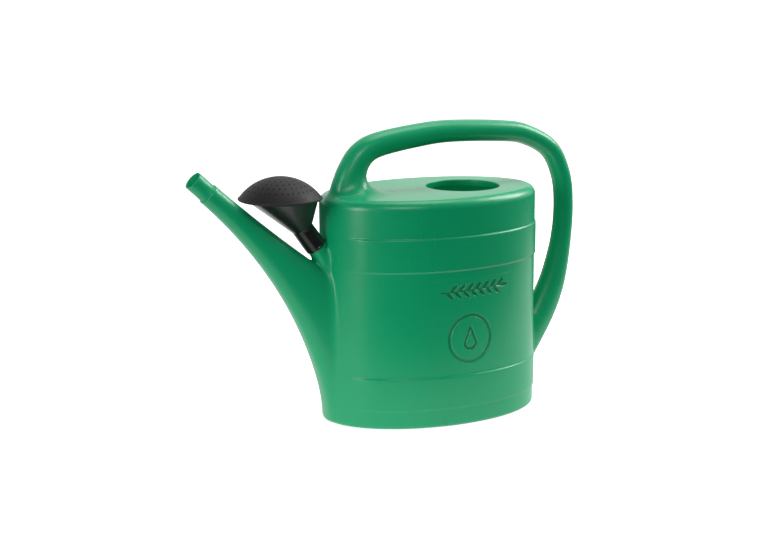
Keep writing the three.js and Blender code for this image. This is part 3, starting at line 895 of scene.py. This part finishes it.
def build_face():
    """The domed face. A flat disc with its holes cut is lifted to the dome, inside and out."""
    holes = spray_holes()
    plate = PLATE_RADIUS
    turn = np.linspace(0, 2 * math.pi, SPRAY_SIDES, endpoint=False)
    edge = np.linspace(0, 2 * math.pi, FACE_SIDES, endpoint=False)
    points = [(plate * math.cos(a), plate * math.sin(a)) for a in edge]
    loops = [list(range(FACE_SIDES))]
    for hx, hy in holes:
        start = len(points)
        points += [(hx + SPRAY_HOLE * math.cos(a), hy + SPRAY_HOLE * math.sin(a)) for a in turn]
        loops.append(list(range(start, start + SPRAY_SIDES))[::-1])
    centres = np.array(holes)

    def to_hole(x, y):
        return np.hypot(centres[:, 0] - x, centres[:, 1] - y).min()

    for i in range(-24, 25):
        for j in range(-24, 25):
            x, y = (i + 0.5 * (j % 2)) * PLATE_STEP, j * PLATE_STEP * 0.866
            if to_hole(x, y) > SPRAY_HOLE + 0.9 and math.hypot(x, y) < plate - 1.6:
                points.append((x, y))
    vectors = [Vector(p) for p in points]
    flat, _, tris, _, _, _ = geometry.delaunay_2d_cdt(vectors, [], loops, 1, 1e-5)
    flat = np.array([tuple(v) for v in flat])
    centre = flat[np.array(tris)].mean(axis=1)
    keep = np.array([to_hole(x, y) > SPRAY_HOLE * 0.97 for x, y in centre])
    tris = [tuple(t) for t, k in zip(tris, keep) if k]
    radius = np.hypot(flat[:, 0], flat[:, 1])
    outer = np.column_stack([flat, dome_height(radius)])
    inner = np.column_stack([flat, dome_height(radius) - FACE_WALL])
    skin = Skin()
    skin.add(outer, tris)
    below = skin.add(inner, [t[::-1] for t in tris])
    edges = {}
    for t in tris:
        for i in range(3):
            a, b = t[i], t[(i + 1) % 3]
            edges[(a, b)] = True
    for a, b in list(edges):
        if (b, a) not in edges and not (radius[a] > plate - 0.01 and radius[b] > plate - 0.01):
            skin.faces.append((b, a, a + below, b + below))
    rim = [i for i in range(len(flat)) if radius[i] > plate - 0.01]
    rim.sort(key=lambda i: math.atan2(flat[i, 1], flat[i, 0]) % (2 * math.pi))
    profile = [(r, float(dome_height(r))) for r in (48.4, 50.0, 51.4, 52.6, 53.3)]
    profile += [(RIM_RADIUS, 0.75)]
    bead = FACE_RADIUS - FACE_BEAD
    for a in np.radians((12, 0, -15, -35, -55, -75, -90)):
        profile.append((bead + FACE_BEAD * math.cos(a), FACE_BEAD * math.sin(a)))
    profile += [(FACE_INNER + 0.25, -FACE_BEAD), (FACE_INNER, -FACE_BEAD + 0.25), (FACE_INNER, -0.6)]
    profile += [(r, float(dome_height(r)) - FACE_WALL) for r in (FACE_INNER - 0.3, 50.0, 48.4)]
    rings = [circle((0, 0, z), (1, 0, 0), (0, 1, 0), r, FACE_SIDES) for r, z in profile]
    first, last = skin.add_rings(rings)
    for j in range(FACE_SIDES):
        k = (j + 1) % FACE_SIDES
        skin.faces.append((first[j], rim[j], rim[k], first[k])[::-1])
        skin.faces.append((last[j], rim[j] + below, rim[k] + below, last[k]))
    return skin.points + FACE_CENTRE, skin.faces


# ------------------------------------------------------------------ materials

FLOOR_BOUNCE = 0.03
GREEN_DEEP = (0.0016, 0.322, 0.130)
GREEN_LIGHT = (0.0022, 0.338, 0.140)
# GREEN_SHADE is the painted shade laid into the grooves of the marks.
GREEN_SHADE = (0.0008, 0.115, 0.035)
CHARCOAL_DEEP = (0.008, 0.008, 0.0083)
CHARCOAL_LIGHT = (0.013, 0.013, 0.0135)


class Paint:
    """A Principled material whose textures follow the piece's own coordinates."""

    def __init__(self, name):
        self.material = bpy.data.materials.new(name)
        self.material.use_nodes = True
        self.nodes = self.material.node_tree.nodes
        self.links = self.material.node_tree.links
        self.surface = self.nodes["Principled BSDF"]
        self.place = self.nodes.new("ShaderNodeTexCoord").outputs["Object"]

    def noise(self, scale, detail=3.0, roughness=0.5, stretch=None):
        place = self.place
        if stretch:
            mapping = self.nodes.new("ShaderNodeMapping")
            mapping.inputs["Scale"].default_value = stretch
            self.links.new(place, mapping.inputs["Vector"])
            place = mapping.outputs["Vector"]
        node = self.nodes.new("ShaderNodeTexNoise")
        node.inputs["Scale"].default_value = scale
        node.inputs["Detail"].default_value = detail
        node.inputs["Roughness"].default_value = roughness
        self.links.new(place, node.inputs["Vector"])
        return node.outputs["Fac"]

    def remap(self, value, low, high):
        """Spreads a noise, which keeps near its middle, from low to high."""
        node = self.nodes.new("ShaderNodeMapRange")
        node.inputs["From Min"].default_value = 0.3
        node.inputs["From Max"].default_value = 0.7
        node.inputs["To Min"].default_value = low
        node.inputs["To Max"].default_value = high
        self.links.new(value, node.inputs["Value"])
        return node.outputs["Result"]

    def blend(self, factor, a, b):
        node = self.nodes.new("ShaderNodeMix")
        node.data_type = "RGBA"
        self.links.new(factor, node.inputs["Factor"])
        for socket, colour in ((node.inputs[6], a), (node.inputs[7], b)):
            if isinstance(colour, tuple):
                socket.default_value = (*colour, 1)
            else:
                self.links.new(colour, socket)
        return node.outputs[2]

    def attribute(self, name):
        node = self.nodes.new("ShaderNodeAttribute")
        node.attribute_name = name
        return node.outputs["Fac"]

    def bump(self, height, strength, distance, normal=None):
        node = self.nodes.new("ShaderNodeBump")
        node.inputs["Strength"].default_value = strength
        node.inputs["Distance"].default_value = distance
        self.links.new(height, node.inputs["Height"])
        if normal is not None:
            self.links.new(normal, node.inputs["Normal"])
        return node.outputs["Normal"]

    def set(self, socket, value):
        target = self.surface.inputs[socket]
        if isinstance(value, (int, float, tuple)):
            target.default_value = value
        else:
            self.links.new(value, target)


def green_plastic(name, glow):
    """glow stands for the daylight that comes through the wall into the can."""
    paint = Paint(name)
    # Painted light: the emission makes the wall glow as if daylight came through it.
    if glow:
        paint.set("Emission Color", (*GREEN_LIGHT, 1))
        paint.set("Emission Strength", glow)
    cloud = paint.remap(paint.noise(9, 2), 0, 1)
    flow = paint.remap(paint.noise(30, 3, stretch=(1, 1, 0.12)), 0, 1)
    base = paint.blend(cloud, GREEN_DEEP, GREEN_LIGHT)
    base = paint.blend(paint.remap(flow, 0.0, 0.25), base, GREEN_LIGHT)
    # Painted shade darkens the marks' grooves, where less light reaches.
    base = paint.blend(paint.attribute("painted_groove_shade"), base, GREEN_SHADE)
    paint.set("Base Color", base)
    paint.set("Roughness", paint.remap(paint.noise(14, 1, 0.4), 0.27, 0.32))
    fine = paint.bump(paint.noise(700, 2, 0.5), 0.03, 0.0002)
    paint.set("Normal", paint.bump(paint.noise(90, 2, 0.4), 0.05, 0.0006, fine))
    paint.set("IOR", 1.45)
    paint.set("Subsurface Weight", 0.12)
    paint.set("Subsurface Radius", (0.25, 1.0, 0.5))
    paint.set("Subsurface Scale", 0.004)
    return paint.material


def charcoal_plastic(name, gloss, grain):
    """gloss is the least roughness and grain the strength of the moulded texture."""
    paint = Paint(name)
    cloud = paint.remap(paint.noise(45, 3), 0, 1)
    paint.set("Base Color", paint.blend(cloud, CHARCOAL_DEEP, CHARCOAL_LIGHT))
    paint.set("Roughness", paint.remap(paint.noise(240, 3, 0.6), gloss, gloss + 0.09))
    fine = paint.bump(paint.noise(3200, 2, 0.6), grain, 0.0002)
    paint.set("Normal", paint.bump(paint.noise(500, 2, 0.5), 0.08, 0.0003, fine))
    paint.set("IOR", 1.5)
    paint.set("Specular IOR Level", 0.5 - 0.4 * gloss)
    return paint.material


def floor_paint():
    """White where the camera sees it, and dark in reflections, as a table with black flags round it."""
    paint = Paint("floor_paper")
    cloud = paint.remap(paint.noise(3, 2), 0, 1)
    paint.set("Base Color", paint.blend(cloud, (0.93, 0.93, 0.93), (0.95, 0.95, 0.95)))
    paint.set("Roughness", 0.9)
    paint.set("Specular IOR Level", 0.1)
    paint.set("Emission Color", (1.0, 1.0, 1.0, 1.0))
    paint.set("Emission Strength", 0.7)
    bounce = paint.nodes.new("ShaderNodeBsdfPrincipled")
    bounce.inputs["Base Color"].default_value = (FLOOR_BOUNCE, FLOOR_BOUNCE, FLOOR_BOUNCE, 1)
    bounce.inputs["Specular IOR Level"].default_value = 0
    seen = paint.nodes.new("ShaderNodeLightPath").outputs["Is Camera Ray"]
    pick = paint.nodes.new("ShaderNodeMixShader")
    paint.links.new(seen, pick.inputs[0])
    paint.links.new(bounce.outputs[0], pick.inputs[1])
    paint.links.new(paint.surface.outputs[0], pick.inputs[2])
    paint.links.new(pick.outputs[0], paint.nodes["Material Output"].inputs["Surface"])
    return paint.material


# ------------------------------------------------------------------ assembly

GREEN = green_plastic("green_polyethylene", 0.0)
# The inside faces glow with painted light, which stands for daylight coming through the wall.
GREEN_INSIDE_GLOW = green_plastic("green_polyethylene_inside_glow", 0.17)
CHARCOAL_GLOSS = charcoal_plastic("charcoal_plastic_smooth", 0.17, 0.04)
CHARCOAL_GRAIN = charcoal_plastic("charcoal_plastic_grained", 0.52, 0.35)


def add_piece(name, points, faces, materials, body, slot, nodes):
    piece = mesh_object(name, points, faces)
    for material in materials:
        piece.data.materials.append(material)
    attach(piece, body)
    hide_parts(*nodes)
    return piece


can, inside_faces, painted_groove_shade = build_can()
can_piece = add_piece(
    "can_moulding", can.points, can.faces, (GREEN, GREEN_INSIDE_GLOW), "can", "green_polyethylene",
    ("tank", "spout", "handle", "rose_peg"),
)
inside = np.zeros(len(can.faces), np.int32)
inside[inside_faces[0] : inside_faces[1]] = 1
can_piece.data.polygons.foreach_set("material_index", inside)
# Each point's painted groove shade goes to the material as an attribute.
shade = can_piece.data.attributes.new("painted_groove_shade", "FLOAT", "POINT")
shade.data.foreach_set("value", np.append(painted_groove_shade, np.zeros(len(can.points) - len(painted_groove_shade))))
add_piece(
    "rose_funnel_moulding", *build_funnel(), (CHARCOAL_GLOSS,), "rose", "charcoal_plastic",
    ("rose_funnel",),
)
add_piece(
    "rose_face_moulding", *build_face(), (CHARCOAL_GRAIN,), "rose_front", "charcoal_plastic",
    ("rose_face",),
)

# ------------------------------------------------------------------ floor, light and camera

bpy.ops.mesh.primitive_plane_add(size=60, location=(0, 0, 0))
floor = bpy.context.object
floor.name = "floor"
floor.data.materials.append(floor_paint())


def softbox(name, place, target, width, height, power, shape="RECTANGLE"):
    """An area light. Lengths are metres and power is watts."""
    light = bpy.data.lights.new(name, "AREA")
    light.shape = shape
    light.size, light.size_y, light.energy = width, height, power
    lamp = bpy.data.objects.new(name, light)
    lamp.location = place
    lamp.rotation_euler = (Vector(place) - Vector(target)).to_track_quat("Z", "Y").to_euler()
    bpy.context.scene.collection.objects.link(lamp)
    return lamp


softbox("softbox_top", (0.35, 0.1, 2.0), (0, 0, 0.2), 1.1, 0.9, 9)
softbox("softbox_right", (1.6, -0.1, 1.4), (0.05, 0, 0.15), 0.9, 1.1, 32)
softbox("softbox_left", (-2.3, -0.9, 0.6), (0, 0, 0.15), 0.7, 1.2, 25)
softbox("softbox_front", (-0.9, -2.4, 1.9), (0, 0, 0.15), 1.3, 1.1, 21)
# The white table's own light, which faces up and which the camera doesn't see.
table = softbox("table_glow", (0.2, 0.25, 0.0006), (0, 0, -1), 2.3, 1.25, 7.6, "ELLIPSE")
table.rotation_euler = (math.pi, 0, 0)
table.visible_camera = False


WORLD_FRONT, WORLD_BACK = 0.1, 1.0
WORLD_BRIGHT_SIDE = (0.62, 0.78, 0.1)


def studio_world():
    """White behind the object and dim in front of it. The background is seen as plain white."""
    world = bpy.data.worlds.new("studio")
    world.use_nodes = True
    nodes, links = world.node_tree.nodes, world.node_tree.links
    place = nodes.new("ShaderNodeTexCoord").outputs["Generated"]
    dot = nodes.new("ShaderNodeVectorMath")
    dot.operation = "DOT_PRODUCT"
    dot.inputs[1].default_value = WORLD_BRIGHT_SIDE
    links.new(place, dot.inputs[0])
    fade = nodes.new("ShaderNodeMapRange")
    fade.interpolation_type = "SMOOTHSTEP"
    fade.inputs["From Min"].default_value = -0.25
    fade.inputs["From Max"].default_value = 0.75
    fade.inputs["To Min"].default_value = WORLD_FRONT
    fade.inputs["To Max"].default_value = WORLD_BACK
    links.new(dot.outputs["Value"], fade.inputs["Value"])
    path = nodes.new("ShaderNodeLightPath")
    pick = nodes.new("ShaderNodeMix")
    links.new(path.outputs["Is Camera Ray"], pick.inputs["Factor"])
    links.new(fade.outputs["Result"], pick.inputs["A"])
    pick.inputs["B"].default_value = 1.0
    links.new(pick.outputs["Result"], nodes["Background"].inputs["Strength"])
    nodes["Background"].inputs["Color"].default_value = (1, 1, 1, 1)
    bpy.context.scene.world = world


studio_world()
bpy.context.scene.view_settings.view_transform = "Standard"

AZIMUTH, ELEVATION, DISTANCE = math.radians(-27.983), math.radians(12.394), 2.614
TARGET = Vector((0, 0, 0.152))
toward = Vector((
    math.sin(AZIMUTH) * math.cos(ELEVATION),
    -math.cos(AZIMUTH) * math.cos(ELEVATION),
    math.sin(ELEVATION),
))
lens = bpy.data.cameras.new("photo_camera")
lens.lens, lens.sensor_width = 89.54, 36
lens.shift_x, lens.shift_y = -0.0494, 0.0265
camera = bpy.data.objects.new("photo_camera", lens)
camera.location = TARGET + toward * DISTANCE
camera.rotation_euler = toward.to_track_quat("Z", "Y").to_euler()
bpy.context.scene.collection.objects.link(camera)
bpy.context.scene.camera = camera
